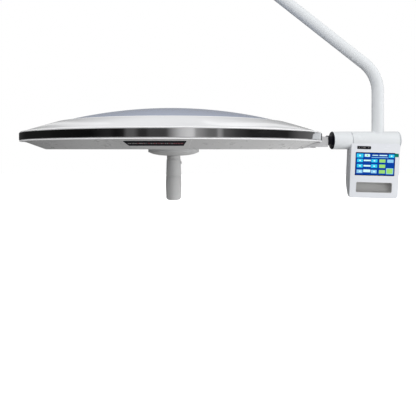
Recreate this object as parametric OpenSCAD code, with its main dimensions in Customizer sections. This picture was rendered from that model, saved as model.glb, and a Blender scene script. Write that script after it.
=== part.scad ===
// Dental operating light: a round reflector head on a half yoke, with a touch-screen
// control box. The origin is the shoulder of the ceiling arm's spindle, +Z is up.
// The head faces down, the yoke stands at its +X side and the screen faces -Y.

/* [Head] */
// Diameter over the bright rim band
head_d = 700; // [690:1:710]
// Height of the rim band
band_h = 15.2; // [14:0.2:16]
// Radius of the dome's curve
dome_r = 991; // [970:1:1010]
// Height of the dome's top above the flat underside
dome_h = 97; // [95:0.5:99]
// Diameter of the central dome cap
cap_d = 544; // [520:2:560]
// Diameter of the flat underside inside the sloping bezel
face_d = 592; // [588:1:596]
// Wall of the plastic shells
shell_t = 2.5; // [2.2:0.1:2.8]

/* [Yoke] */
// Outside diameter of the yoke tube
tube_d = 28; // [26:0.5:30]
// Wall of the yoke tube
tube_t = 3; // [2:0.5:4]
// Distance from the head's centre to the upright part of the yoke
yoke_x = 504; // [500:1:510]
// Height of the upright's corner above the head's underside
corner_h = 186; // [180:1:200]
// Slope of the long arm above the horizontal, in degrees
arm_slope = 38.2; // [37:0.1:39]
// Bend radius on the tube's centreline
bend_r = 90; // [80:1:100]

/* [Tilt joint] */
// Height of the tilt axis above the head's underside
axis_h = 22; // [21.5:0.1:22.5]
// Outside diameter of the joint housing
housing_d = 44; // [43:0.5:46]
// Left end of the bearing sleeve, from the head's centre
sleeve_x = 391; // [390:0.5:393]
// Left end of the joint housing, from the head's centre
housing_x = 436; // [434:1:438]
// Right end of the joint housing, from the head's centre
housing_end = 553; // [552:0.5:555]
// Diameter of the tilt shaft
shaft_d = 16; // [15:0.5:16.5]

/* [Control box] */
// Width of the box
box_w = 119; // [116:1:124]
// Distance from the tilt axis down to the bottom of the box
box_drop = 140; // [138:1:145]
// Thickness of the box
box_t = 29; // [28:0.5:32]
// Sideways lean of the box on its housing, in degrees
box_lean = 1.5; // [0:0.1:2]
// Angle by which the box's lower edge is set back, in degrees
box_rake = 3; // [0:0.5:4]
// Width of the screen
screen_w = 95; // [93:0.5:97]
// Height of the screen
screen_h = 55; // [53:0.5:57]

/* [Handle] */
// Height of the handle's tip below the underside
handle_l = 124; // [120:1:130]
// Largest diameter of the handle
handle_d = 39; // [38:0.5:40]
// Diameter of the centre flange
flange_d = 125; // [124:0.5:126]

/* [Spindle] */
// Diameter of the arm spindle
spindle_d = 25; // [24:0.5:26]
// Length of the plain spindle above its shoulder
spindle_l = 40; // [36:1:44]

/* [Hidden] */
head_r = head_d / 2;
cap_r = cap_d / 2;
face_r = face_d / 2;
fine = 180;
round = 48;
fit = 0.05;
// Height of the spindle's shoulder above the head's underside
shoulder_h = 745;
base_z = -shoulder_h;
axis_z = base_z + axis_h;
bracket_x = head_r + 27;
// The head's stack of rings, as heights above its underside
band_z0 = 19.5;
band_z1 = band_z0 + band_h;
ring_top = dome_h + 1.8;
core_r0 = head_r - 21;
core_r1 = head_r - 2.1;
bezel_r = head_r - 9.5;
bezel_z = 17;
bezel_slope = atan(bezel_z / (bezel_r - face_r));
lip_t = 1.6;
inner_rise = (bezel_z - lip_t) / (bezel_r - face_r - 3.5);
screw_r = head_r - 30;
badge_turn = -92.2;
frame_top = 84;
frame_t = 4;
arms = 6;
lens_z = 3;
lens_t = 4;
// Centre of the head: the flange, the focus spindle and the lamp column
flange_r = flange_d / 2;
rod_r = 40;
rods = 3;
plate_z = 7.6;
plate_t = 4;
column_r = 27;
column_z = [20, 54];
reflector_r = 806;
reflector_top = 62;
// The tube's bends
bend_a = 90 - arm_slope;
bend_leg = bend_r * tan(bend_a / 2);
arm_l = yoke_x / cos(arm_slope) - 2 * bend_leg;
arm_end_h = corner_h + yoke_x * tan(arm_slope);
collar_r = 29;
collar_z = [-116, -10.3];
journal_r = spindle_d / 2;
bush_r = 20;
stop_z = -38;
stop_r = 2;
brake_z = -47;
// Arc of the tilt shaft's stop lug, which meets its pin just past 110 degrees
lug_a = 107;
// The control box, in its own frame on the tilt axis
box_x = 491.5;
box_y = -21;
split_y = -10;
box_top = -6;
box_corner = 7;
back_bend_z = -88;
back_edge = box_t + box_y - split_y - 0.1;
back_bend_r = (pow(box_drop + back_bend_z, 2) + back_edge * back_edge) / (2 * back_edge);
screen_z = -57;
pocket_z = -114;
pocket = [85, 13, 22.5];
housing_r = housing_d / 2;
bore_r = housing_r - 5;
shaft_r = shaft_d / 2;
cable_r = 2.3;

// ---- helpers ----

// Height of a curve parallel to the dome at radius r, with its top at height top
function curve_z(r, top) = top - dome_r + sqrt(dome_r * dome_r - r * r);

// Places something drawn from the head's underside
module at_head() translate([0, 0, base_z]) children();

// Places something drawn along +Z onto the tilt axis, at distance x from the head's centre
module on_axis(x) translate([x, 0, axis_z]) rotate([0, 90, 0]) children();

// A tube along +Z from z0 to z1
module tube(r1, r0, z0, z1) translate([0, 0, z0]) difference() {
  cylinder(r = r1, h = z1 - z0, $fn = fine);
  translate([0, 0, -1]) cylinder(r = r0, h = z1 - z0 + 2, $fn = fine);
}

// The outline of a curved strip between two radii, parallel to the dome
module strip(r0, r1, top, t, radius = dome_r) intersection() {
  translate([0, top - radius]) difference() {
    circle(r = radius, $fn = 1440);
    circle(r = radius - t, $fn = 1440);
  }
  translate([r0, -5]) square([r1 - r0, dome_h + 20]);
}

// A rectangle with round corners, centred
module round_rect(w, h, r) union() {
  square([w - 2 * r, h], center = true);
  square([w, h - 2 * r], center = true);
  for (x = [-1, 1], y = [-1, 1])
    translate([x * (w / 2 - r), y * (h / 2 - r)]) circle(r = r, $fn = round);
}

// A rectangle with its corners cut to short flats, centred
module soft_rect(w, h, r) polygon([for (c = [[1, 1, 0], [-1, 1, 90], [-1, -1, 180], [1, -1, 270]])
  for (a = [0 : 30 : 90])
    [c[0] * (w / 2 - r) + r * cos(c[2] + a), c[1] * (h / 2 - r) + r * sin(c[2] + a)]]);

// Copies something round the head's axis
module around(n, phase = 0) for (i = [0 : n - 1]) rotate([0, 0, phase + 360 * i / n]) children();

// Places something on the bezel's slope at radius r, its +Z into the head
module on_slope(r) translate([r, 0, (r - face_r) * tan(bezel_slope)])
  rotate([0, -bezel_slope, 0]) children();

// ---- the fixed spindle ----

module spindle() color("silver") difference() {
  rotate_extrude($fn = fine) polygon([[0, -84], [journal_r - 1, -84], [journal_r, -83],
    [journal_r, -74.2], [journal_r - 1, -74.2], [journal_r - 1, -72.2],
    [journal_r, -72.2], [journal_r, -8], [26, -8], [26, 0], [journal_r, 0],
    [journal_r, spindle_l], [journal_r - 2.5, spindle_l], [journal_r - 2.5, spindle_l + 4.5],
    [journal_r, spindle_l + 4.5], [journal_r, spindle_l + 17],
    [journal_r - 1.5, spindle_l + 18.5], [0, spindle_l + 18.5]]);
  translate([0, 0, -90]) cylinder(r = 6, h = 160, $fn = round);
  translate([0, 0, stop_z]) rotate([0, 90, 0]) cylinder(r = stop_r, h = 20, $fn = round);
}

module swivel_stop_pin() color("dimgray")
  translate([6.3, 0, stop_z]) rotate([0, 90, 0]) cylinder(r = stop_r, h = 12.2, $fn = round);

module retaining_ring() color("gray")
  rotate([0, 0, 20]) rotate_extrude(angle = 320, $fn = fine)
    translate([journal_r - 0.95, -74.1]) square([4.6, 1.8]);

// ---- the yoke and its swivel collar ----

module swivel_collar() color("whitesmoke") difference() {
  rotate_extrude($fn = fine) polygon([[0, collar_z[0]], [19, collar_z[0]], [27, -100],
    [collar_r, -96], [collar_r, -12.3], [collar_r - 2, collar_z[1]], [0, collar_z[1]]]);
  translate([0, 0, -88]) cylinder(r = bush_r, h = 90, $fn = fine);
  translate([0, 0, -120]) cylinder(r = tube_d / 2, h = 20, $fn = fine);
  translate([0, 0, -110]) cylinder(r = 6, h = 30, $fn = round);
  translate([0, 0, stop_z]) rotate([0, -90, 0]) cylinder(r = 3, h = 40, $fn = round);
  for (s = [-90, 90])
    translate([0, 0, brake_z]) rotate([0, s, 90]) cylinder(r = 4, h = 40, $fn = round);
}

module swivel_bushes() color("goldenrod") union() {
  tube(bush_r, journal_r + fit, -30, -10.3);
  tube(26, journal_r + fit, -10.3, -8.3);
  tube(bush_r, journal_r + fit, -72, -54);
}

module stop_screw() color("dimgray") translate([-14.4, 0, stop_z]) rotate([0, -90, 0])
  difference() {
    union() {
      cylinder(r = 3, h = 15, $fn = round);
      translate([0, 0, collar_r - 14.4]) cylinder(r = 5, h = 4, $fn = round);
    }
    translate([0, 0, collar_r - 12.4]) cylinder(r = 2.6, h = 4, $fn = 6);
  }

module brake_screws() color("silver") for (s = [-90, 90])
  translate([0, 0, brake_z]) rotate([0, s, 90]) difference() {
    union() {
      translate([0, 0, journal_r + 0.4]) cylinder(r = 4, h = 17, $fn = round);
      translate([0, 0, collar_r]) cylinder(r = 7, h = 3, $fn = round);
    }
    translate([-0.8, -8, collar_r + 1.6]) cube([1.6, 16, 3]);
  }

// A round bar that follows the yoke's centreline between two heights. Each straight runs a
// little way into its bends, which are a hair thicker, so that all five are one solid.
module yoke_path(r, low, high) {
  into = 5;
  swell = 0.4;
  lift = base_z + corner_h - bend_leg;
  top = base_z + arm_end_h + bend_leg;
  translate([yoke_x, 0, axis_z + low])
    cylinder(r = r, h = lift + into - axis_z - low, $fn = round);
  translate([yoke_x - bend_r, 0, lift]) bend(r + swell);
  translate([yoke_x - bend_r * (1 - cos(bend_a)), 0, lift + bend_r * sin(bend_a)])
    rotate([0, -bend_a, 0]) translate([0, 0, -into])
      cylinder(r = r, h = arm_l + 2 * into, $fn = round);
  translate([bend_r, 0, top]) rotate([0, 180, 0]) bend(r + swell);
  translate([0, 0, top - into]) cylinder(r = r, h = high - top + into, $fn = round);
}

// One bend in the X-Z plane, from +X round towards +Z
module bend(r) rotate([90, 0, 0]) rotate_extrude(angle = bend_a, $fn = fine)
  translate([bend_r, 0]) circle(r = r, $fn = round);

module yoke_tube() color("lightgray") difference() {
  yoke_path(tube_d / 2, 10, -100);
  yoke_path(tube_d / 2 - tube_t, 5, -90);
  on_axis(housing_x) cylinder(r = bore_r + 0.2, h = 120, $fn = fine);
}

module yoke_cable() color("white") yoke_path(3, 12, -86);

// ---- the tilt joint's housing ----

module joint_housing() color("whitesmoke") difference() {
  on_axis(0) tube(housing_r, bore_r, housing_x + 0.4, housing_end - 2);
  on_axis(housing_x - 1) cylinder(r = bore_r + 2.5 + fit, h = 11.2, $fn = fine);
  translate([yoke_x, 0, axis_z]) cylinder(r = tube_d / 2, h = 30, $fn = fine);
  translate([463, 0, axis_z - 30]) cylinder(r = 3, h = 30, $fn = round);
}

module housing_end_cap() color("whitesmoke") on_axis(housing_end - 2) union() {
  bulge = 4;
  curve = (housing_r * housing_r + bulge * bulge) / (2 * bulge);
  rotate_extrude($fn = fine) intersection() {
    translate([0, 2 + bulge - curve]) circle(r = curve, $fn = 720);
    translate([0, 0.2]) square([housing_r, 10]);
  }
  tube(bore_r - fit, bore_r - 2.2, -6, 0.2);
}

module bearing_sleeve() color("whitesmoke") on_axis(0) union() {
  tube(housing_r, bore_r, sleeve_x + 0.2, housing_x);
  tube(bore_r + 2.5, bore_r, housing_x - 1, housing_x + 10);
}

module shaft_cover() color("black") on_axis(sleeve_x - 2.4)
  rotate_extrude($fn = fine) polygon([[shaft_r + 0.4, bracket_x + 2.7 - sleeve_x],
    [12, bracket_x + 2.7 - sleeve_x], [12, 0], [housing_r - 1.4, 0.7], [housing_r, 2],
    [housing_r, 2.6], [bore_r - fit, 2.6], [bore_r - fit, 4.6],
    [bore_r - 2, 4.6], [bore_r - 2, 2.6], [shaft_r + 0.4, 2.6]]);

module tilt_bushes() color("goldenrod") on_axis(0) union() {
  tube(bore_r, shaft_r + fit, sleeve_x + 5, sleeve_x + 21);
  tube(bore_r, shaft_r + fit, 522, 536);
}

module tilt_stop_pin() color("dimgray") translate([463, 0, axis_z - housing_r + 0.4])
  cylinder(r = 3, h = 10.6, $fn = round);

// ---- the control box ----

// Places something drawn in the box's own frame
module at_box() translate([box_x, 0, axis_z]) rotate([box_rake, box_lean, 0]) children();

// The box's solid, with every face moved in by an inset
module box_block(inset = 0) {
  w = box_w - 2 * inset;
  depth = box_t - 2 * inset;
  low = box_drop - inset;
  intersection() {
    rotate([90, 0, 0]) translate([0, 0, -box_t]) linear_extrude(2 * box_t)
      translate([0, (box_top - low) / 2]) soft_rect(w, low + box_top, box_corner - inset);
    rotate([90, 0, 90]) translate([0, 0, -box_w]) linear_extrude(2 * box_w) union() {
      translate([box_y + inset, back_bend_z]) square([depth, box_top - back_bend_z]);
      intersection() {
        translate([box_y + inset, -low]) square([depth, low + back_bend_z + 1]);
        translate([box_y + box_t - back_bend_r, back_bend_z])
          circle(r = back_bend_r - inset, $fn = 360);
      }
    }
  }
}

// What the shells keep clear of: the round housing above them
module housing_space() on_axis(housing_x - 30) cylinder(r = housing_r + 0.15, h = 160, $fn = fine);

module box_screw_places() for (x = [-1, 1], z = [-34, -84])
  translate([x * (box_w / 2 - 6), 0, z]) rotate([90, 0, 0]) children();

module box_front() color("whitesmoke") difference() {
  at_box() difference() {
    union() {
      difference() {
        box_block();
        box_block(shell_t);
      }
      box_screw_places() translate([0, 0, -split_y]) cylinder(r = 4, h = 8.6, $fn = round);
    }
    box_screw_places() cylinder(r = 1.6, h = 20, $fn = round);
    translate([-box_w, split_y, -box_drop - 5]) cube([2 * box_w, 40, box_drop + 10]);
    translate([0, box_y + 1.5, screen_z]) rotate([90, 0, 0])
      linear_extrude(5) round_rect(screen_w + 1.4, screen_h + 1.4, 1.2);
    translate([-screen_w / 2 + 2, box_y - 2, screen_z - screen_h / 2 + 2])
      cube([screen_w - 4, 10, screen_h - 4]);
    translate([0, box_y + 8, pocket_z]) rotate([90, 0, 0])
      linear_extrude(10) round_rect(pocket[0] + 2.4, pocket[2] + 2.4, 3);
  }
  housing_space();
}

module box_back() color("whitesmoke") difference() {
  at_box() difference() {
    box_block();
    box_block(shell_t);
    translate([-box_w, split_y + 0.2 - 40, -box_drop - 5]) cube([2 * box_w, 40, box_drop + 10]);
    box_screw_places() translate([0, 0, -12]) cylinder(r = 1.7, h = 10, $fn = round);
  }
  housing_space();
}

module box_saddle() color("silver") difference() {
  at_box() translate([-46, -14, -32]) cube([92, 16, 20]);
  on_axis(housing_x - 30) cylinder(r = housing_r, h = 160, $fn = fine);
}

module box_screws() color("dimgray") at_box() box_screw_places() union() {
  translate([0, 0, -10.2]) cylinder(r = 3, h = 2, $fn = round);
  translate([0, 0, -8.4]) cylinder(r = 1.6, h = 22, $fn = round);
}

module display_panel() color("darkslategray") at_box()
  translate([-49, box_y + shell_t + 0.3, screen_z - 33]) cube([98, 3.2, 66]);

module touch_glass() color("navy") at_box() translate([0, box_y + 1.3, screen_z])
  rotate([90, 0, 0]) linear_extrude(1.3) round_rect(screen_w + 0.8, screen_h + 0.8, 1);

module film_tab() color("seagreen") at_box()
  translate([screen_w / 2 - 1.5, box_y - 0.4, screen_z + screen_h / 2 - 9]) cube([10, 0.3, 8.3]);

module label_plate() color("black") at_box() translate([-28.5, box_y - 0.05, -17.5])
  rotate([90, 0, 0]) linear_extrude(0.7) round_rect(33, 7.3, 0.8);

module grip_liner() color("darkgray") at_box() translate([0, box_y + pocket[1], pocket_z])
  rotate([90, 0, 0]) difference() {
    linear_extrude(pocket[1]) round_rect(pocket[0] + 2.2, pocket[2] + 2.2, 2.9);
    translate([0, 0, 1.2]) linear_extrude(pocket[1]) round_rect(pocket[0], pocket[2], 2);
  }

module control_board() color("darkgreen") at_box() translate([0, 0, screen_z]) union() {
  translate([-48, box_y + 10, -34]) cube([96, 1.6, 57]);
  translate([-30, box_y + 11.6, -14]) cube([24, 2.2, 24]);
  translate([6, box_y + 11.6, -26]) cube([30, 9, 14]);
  for (x = [10 : 9 : 37])
    translate([x, box_y + 11.6, 16]) rotate([-90, 0, 0]) cylinder(r = 3.6, h = 9, $fn = round);
}

// ---- the head's bracket and shaft ----

// The head's outside as one solid of revolution, grown by a clearance
module head_space(gap) at_head() rotate_extrude($fn = fine) polygon([[0, -gap],
  [face_r, -gap], [bezel_r + 2, bezel_z - 0.6 - gap], [head_r - 0.6, bezel_z - 1.2],
  [head_r + gap, band_z0 - 2], [head_r + gap, 60], [0, 60]]);

// Four screws clamp the bracket to the rim core, at these angles
module bracket_screw_places() for (a = [-7, -3, 3, 7])
  rotate([0, 0, a]) translate([head_r - 13, 0, base_z]) children();

module rim_bracket() color("silver") difference() {
  intersection() {
    translate([0, 60, base_z]) rotate([90, 0, 0]) linear_extrude(120)
      polygon([[306, 2], [326, 5.8], [bracket_x, 5.8], [bracket_x, 31], [300, 31]]);
    translate([0, 0, base_z - 5]) linear_extrude(60)
      polygon([[300, -50], [346, -50], [358, -26], [bracket_x, -15], [bracket_x, 15],
        [358, 26], [346, 50], [300, 50]]);
  }
  head_space(0.15);
  on_axis(340) cylinder(r = shaft_r, h = 60, $fn = fine);
  bracket_screw_places() {
    cylinder(r = 2.6, h = 40, $fn = round);
    translate([0, 0, -5]) cylinder(r = 4.7, h = 12, $fn = round);
  }
}

module bracket_screws() color("dimgray") bracket_screw_places() {
  translate([0, 0, 7]) cylinder(r = 2.5, h = 23, $fn = round);
  translate([0, 0, 4]) cylinder(r = 4.25, h = 3, $fn = round);
}

module tilt_shaft() color("silver") difference() {
  on_axis(0) union() {
    translate([0, 0, 356]) cylinder(r = shaft_r, h = 194.5, $fn = fine);
    translate([0, 0, sleeve_x + 1.4]) cylinder(r = 11, h = 3.2, $fn = fine);
    rotate([0, 0, 180 - lug_a / 2]) rotate_extrude(angle = lug_a, $fn = fine)
      translate([shaft_r - 1, 458]) square([8, 10]);
  }
  on_axis(300) cylinder(r = 3.5, h = 300, $fn = round);
}

module spring_washers() color("gray") on_axis(0) for (i = [0 : 1])
  tube(14, shaft_r + fit, 536.3 + 2.2 * i, 538.2 + 2.2 * i);

module shaft_nut() color("dimgray") on_axis(541) difference() {
  cylinder(r = 13, h = 7.5, $fn = 6);
  translate([0, 0, -1]) cylinder(r = shaft_r + fit, h = 12, $fn = fine);
}

module head_cable() color("white") on_axis(0) translate([0, 0, 262])
  cylinder(r = cable_r, h = 230, $fn = round);

// ---- the head's frame and shells ----

module head_frame() color("silver") at_head() difference() {
  intersection() {
    rotate_extrude($fn = fine) strip(10, core_r0 - 0.2, frame_top, frame_t);
    union() {
      cylinder(r = 52, h = 100, $fn = fine);
      around(arms) translate([0, -15, 0]) cube([head_r, 30, 100]);
    }
  }
  around(2, 90) translate([-30, 0, 0]) cylinder(r = 4, h = 120, $fn = round);
}

module rim_core() color("silver") difference() {
  at_head() tube(core_r1, core_r0, band_z0 + 1.4, band_z1 - 1.3);
  on_axis(head_r - 40) cylinder(r = cable_r + 0.3, h = 60, $fn = round);
  bracket_screw_places() cylinder(r = 2.5, h = 30, $fn = round);
}

module dome_cap() color("slategray") at_head()
  rotate_extrude($fn = fine) strip(0, cap_r - 0.4, dome_h, shell_t);

module shell_ring() color("gainsboro") at_head() rotate_extrude($fn = fine) union() {
  skirt_r = head_r - 5.7;
  ledge_top = dome_h - shell_t - 0.2;
  strip(cap_r, skirt_r, ring_top, shell_t);
  strip(cap_r - 18, cap_r + shell_t, ledge_top, shell_t);
  translate([cap_r, curve_z(cap_r + shell_t, ledge_top) - shell_t])
    square([shell_t, ring_top - dome_h + 2 * shell_t - 0.5]);
  translate([skirt_r - 5, band_z1 - 0.9])
    square([5, curve_z(skirt_r, ring_top) - band_z1 + 0.3]);
}

module upper_seal() color("white") at_head() rotate_extrude($fn = fine) union() {
  translate([head_r - 5.4, band_z1 + 0.2]) square([3, 2.5]);
  translate([head_r - 2.9, band_z1 + 1.45]) circle(r = 1.25, $fn = round);
}

module lower_seal() color("white") at_head() rotate_extrude($fn = fine) union() {
  translate([head_r - 5.7, bezel_z - 0.3]) square([4, 2.4]);
  translate([head_r - 1.9, bezel_z + 0.9]) circle(r = 1.2, $fn = round);
}

module rim_band() color("dimgray") difference() {
  at_head() rotate_extrude($fn = fine) union() {
    translate([head_r - 1.8, band_z0]) square([1.8, band_h]);
    for (z = [band_z0, band_z1 - 1.1]) translate([head_r - 5.5, z]) square([5, 1.1]);
  }
  on_axis(head_r - 40) cylinder(r = cable_r + 0.3, h = 60, $fn = round);
}

module bezel_screw_places() around(12, -77.1) on_slope(screw_r) children();

module bezel() color("darkgray") difference() {
  at_head() rotate_extrude($fn = fine) polygon([[face_r, 0], [face_r - 8, 0],
    [face_r - 8, lip_t], [face_r - 3, lip_t], [bezel_r - 6.5, bezel_z],
    [bezel_r - 6.5, band_z0 + 1.1], [head_r - 6, band_z0 + 1.1], [head_r - 6, bezel_z],
    [bezel_r, bezel_z]]);
  at_head() bezel_screw_places() union() {
    translate([0, 0, -1]) cylinder(r = 2.1, h = 8, $fn = round);
    translate([0, 0, -1]) cylinder(r = 4.2, h = 2.2, $fn = round);
  }
  bracket_screw_places() cylinder(r = 2.6, h = 30, $fn = round);
  on_axis(head_r - 40) cylinder(r = cable_r + 0.3, h = 60, $fn = round);
}

module bezel_screws() color("silver") at_head() bezel_screw_places() difference() {
  union() {
    translate([0, 0, 0.1]) cylinder(r = 4, h = 1.1, $fn = round);
    translate([0, 0, 0.1]) cylinder(r = 2, h = 4.8, $fn = round);
  }
  translate([0, 0, -1]) cylinder(r = 1.5, h = 1.8, $fn = 6);
}

// A strip that lies on the bezel's slope from radius r0 to r1, between two heights off it
module slope_strip(r0, r1, low, high) {
  rise = tan(bezel_slope);
  polygon([for (p = [[r0, low], [r0, high], [r1, high], [r1, low]])
    [p[0] + p[1] * sin(bezel_slope), (p[0] - face_r) * rise - p[1] * cos(bezel_slope)]]);
}

module badge_plinth() color("darkgray") at_head() rotate([0, 0, badge_turn - 10.3])
  rotate_extrude(angle = 20.6, $fn = fine) slope_strip(face_r + 10, bezel_r - 3.5, 0.05, 1.2);

module badge_plate() color("black") at_head() rotate([0, 0, badge_turn - 9])
  rotate_extrude(angle = 18, $fn = fine) slope_strip(face_r + 19, bezel_r - 5.5, 1.25, 1.9);

// ---- the lens and the reflector behind it ----

module front_lens() color("azure", 0.5) at_head()
  tube(face_r - 3, flange_r + 0.6, lens_z, lens_z + lens_t);

module lens_gasket() color("white") at_head()
  tube(face_r - 3.2, face_r - 7.5, lip_t + 0.1, lens_z - 0.1);

module lens_ring() color("silver") at_head() difference() {
  low = lens_z + lens_t + 0.2;
  seat = face_r - 3 + (low - lip_t) / inner_rise;
  rotate_extrude($fn = fine) polygon([[face_r - 10, low], [seat - 0.3, low],
    [seat + 15.7, low + 16 * inner_rise], [seat + 15.7, low + 16 * inner_rise + 2.3],
    [seat - 1, low + 2.2], [face_r - 10, low + 2.2]]);
  bezel_screw_places() cylinder(r = 2.05, h = 12, $fn = round);
}

module reflector() color("silver") at_head() rotate_extrude($fn = fine) union() {
  strip(50, face_r - 12, reflector_top, 2, reflector_r);
  translate([face_r - 12.5, 9.6]) square([16, 2]);
}

// ---- the centre of the head ----

module centre_plate() color("silver") at_head()
  tube(flange_r + 5.5, 8 + fit, plate_z, plate_z + plate_t);

module driver_board() color("darkgreen") at_head() union() {
  translate([0, 0, frame_top + 0.2]) cylinder(r = 46, h = 1.6, $fn = fine);
  around(8) translate([30, -5, frame_top + 1.7]) cube([10, 10, 5]);
  around(3, 15) translate([16, 0, frame_top + 1.7]) cylinder(r = 5, h = 6.5, $fn = round);
}

module rod_holes(r, z0, h) around(rods, 30) translate([rod_r, 0, z0])
  cylinder(r = r, h = h, $fn = round);

module guide_rods() color("silver") at_head()
  rod_holes(3, plate_z + plate_t, frame_top - frame_t - 1.3 - plate_z - plate_t);

module centre_flange() color("darkgray") at_head() rotate_extrude($fn = fine)
  polygon([[flange_r - 3, 7.4], [flange_r, 7.4], [flange_r, -6], [flange_r - 2.5, -8],
    [50, -11.6], [36, -14.2], [22, -15.4], [12.4, -15.4], [12.4, -12.4], [21.4, -12.4],
    [36, -11.2], [49, -8.8], [flange_r - 3, -5.6]]);

// ---- the handle ----

module focus_spindle() color("darkgray") at_head() difference() {
  rotate_extrude($fn = fine) polygon([[0, -95], [13, -95], [13, -25.5], [16.7, -23.5],
    [16.7, -15.8], [12, -15.8], [12, 7.2], [8, 7.2], [8, 52.5], [0, 52.5]]);
  translate([7.8, -6, -37.2]) cube([6, 12, 10.4]);
}

module spindle_clip() color("dimgray") at_head() rotate([0, 0, 20])
  rotate_extrude(angle = 320, $fn = fine)
    translate([8, plate_z + plate_t + 0.4]) square([4, 1.6]);

module grip_upper() color("darkgray") at_head() difference() {
  rotate_extrude($fn = fine) polygon([[13.05, -25.7], [16.4, -23.9], [17.3, -25], [17.6, -28],
    [18, -46], [18.7, -65], [13.05, -65]]);
  translate([9, -4.8, -36.3]) cube([12, 9.6, 8.6]);
}

module grip_lower() color("darkgray") at_head() rotate_extrude($fn = fine)
  polygon(concat([[0, -96], [13.05, -96], [13.05, -65.2], [18.7, -65.2], [handle_d / 2, -84]],
    [for (a = [0 : 15 : 90])
      [handle_d / 2 - 5.2 + 5 * cos(a), -handle_l + 5 - 5 * sin(a)]],
    [[0, -handle_l]]));

// The button in the grip's side that frees the handle, with the lip that keeps it in
module release_catch() color("gray") at_head() difference() {
  union() {
    translate([11, -4.4, -35.9]) cube([8.6, 8.8, 7.8]);
    translate([9.9, -5.6, -36.9]) cube([1.7, 11.2, 9.8]);
  }
  translate([19.6, -6, -30.5]) rotate([0, -45, 0]) cube([6, 12, 6]);
}

// ---- the lamp column, which the handle raises and lowers ----

module led_column() color("silver") at_head() difference() {
  union() {
    translate([0, 0, column_z[0]]) cylinder(r = column_r, h = column_z[1] - column_z[0], $fn = 6);
    translate([0, 0, column_z[1]]) cylinder(r = 47, h = 4, $fn = fine);
  }
  cylinder(r = 8.3, h = 90, $fn = fine);
  rod_holes(3.3, 40, 30);
}

module led_boards() color("white") at_head() around(6, 30)
  translate([column_r * cos(30) + 0.1, -12, column_z[0] + 1]) cube([1.2, 24, 32]);

module leds() color("khaki") at_head() around(6, 30)
  for (y = [-6, 6], z = [6, 16, 26]) translate([column_r * cos(30) + 1.4, y, column_z[0] + 1 + z])
    rotate([0, 90, 0]) cylinder(r = 2.6, h = 1.4, $fn = round);

module heat_sink() color("dimgray") at_head() translate([0, 0, column_z[1] + 4.2]) union() {
  cylinder(r = 32, h = 3, $fn = fine);
  intersection() {
    cylinder(r = 32, h = 11, $fn = fine);
    for (x = [-28 : 8 : 28]) translate([x - 1, -40, 2]) cube([2, 80, 9]);
  }
}

spindle();
swivel_stop_pin();
retaining_ring();
swivel_collar();
swivel_bushes();
stop_screw();
brake_screws();
yoke_tube();
yoke_cable();
joint_housing();
housing_end_cap();
bearing_sleeve();
shaft_cover();
tilt_bushes();
tilt_stop_pin();
box_saddle();
box_front();
box_back();
display_panel();
touch_glass();
film_tab();
label_plate();
grip_liner();
control_board();
box_screws();
rim_bracket();
bracket_screws();
tilt_shaft();
spring_washers();
shaft_nut();
head_cable();
head_frame();
rim_core();
dome_cap();
shell_ring();
upper_seal();
lower_seal();
rim_band();
bezel();
bezel_screws();
badge_plinth();
badge_plate();
front_lens();
lens_gasket();
lens_ring();
reflector();
driver_board();
centre_plate();
guide_rods();
centre_flange();
focus_spindle();
spindle_clip();
grip_upper();
grip_lower();
release_catch();
led_column();
led_boards();
leds();
heat_sink();
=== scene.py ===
"""Looks of the dental operating light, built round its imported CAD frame. Lengths are in metres."""

import math
import random

import bmesh
import bpy
from mathutils import Matrix, Vector


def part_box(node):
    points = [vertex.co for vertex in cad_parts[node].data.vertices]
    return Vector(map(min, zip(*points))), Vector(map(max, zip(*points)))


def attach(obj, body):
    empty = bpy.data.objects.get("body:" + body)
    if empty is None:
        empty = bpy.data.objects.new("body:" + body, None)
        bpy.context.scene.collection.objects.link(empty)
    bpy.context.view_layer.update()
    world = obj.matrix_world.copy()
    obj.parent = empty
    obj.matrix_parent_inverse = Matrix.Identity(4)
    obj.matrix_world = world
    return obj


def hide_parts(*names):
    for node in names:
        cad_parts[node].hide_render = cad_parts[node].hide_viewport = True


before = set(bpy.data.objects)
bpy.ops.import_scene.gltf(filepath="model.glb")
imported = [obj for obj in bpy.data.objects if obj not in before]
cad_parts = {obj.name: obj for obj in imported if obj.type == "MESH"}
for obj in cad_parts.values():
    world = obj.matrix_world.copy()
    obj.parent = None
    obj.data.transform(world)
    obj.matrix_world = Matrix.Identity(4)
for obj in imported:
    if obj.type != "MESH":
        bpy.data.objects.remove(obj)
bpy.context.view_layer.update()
random.seed(7)

MM = 0.001
TAU = 2 * math.pi


def low(node):
    """A CAD node's lowest corner."""
    return Vector(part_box(node)[0])


def high(node):
    """A CAD node's highest corner."""
    return Vector(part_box(node)[1])


# ---- places and sizes, worked out from the frame ----
# The head's heights are above BASE, and the box's places are in its own frame, BOX_FRAME.

BASE = low("bezel").z
HEAD_R = high("rim_band").x
BAND_LOW = low("rim_band").z - BASE
BAND_HIGH = high("rim_band").z - BASE
CAP_R = high("dome_cap").x
DOME_H = high("dome_cap").z - BASE
BEZEL_R = HEAD_R - 9.5 * MM
FACE_R = HEAD_R - 54 * MM
BEZEL_H = 17 * MM
BEZEL_SLOPE = math.atan2(BEZEL_H, BEZEL_R - FACE_R)
SHELL_T = 2.5 * MM
RING_TOP = DOME_H + 1.8 * MM
SKIRT_R = high("shell_ring").x
LENS_LOW = low("front_lens").z - BASE
LENS_HIGH = high("front_lens").z - BASE
LENS_R = high("front_lens").x
FLANGE_R = high("centre_flange").x
DOME_R = 991 * MM
AXIS_Z = (low("joint_housing").z + high("joint_housing").z) / 2
HOUSING_R = high("joint_housing").y
YOKE_X = high("yoke_cable").x - 3 * MM
TUBE_R = 14 * MM
ARM_SLOPE = math.radians(38.2)
BEND_R = 90 * MM
CORNER_Z = BASE + 186 * MM
HANDLE_TIP = low("grip_lower").z - BASE
HANDLE_R = high("grip_lower").x
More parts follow.
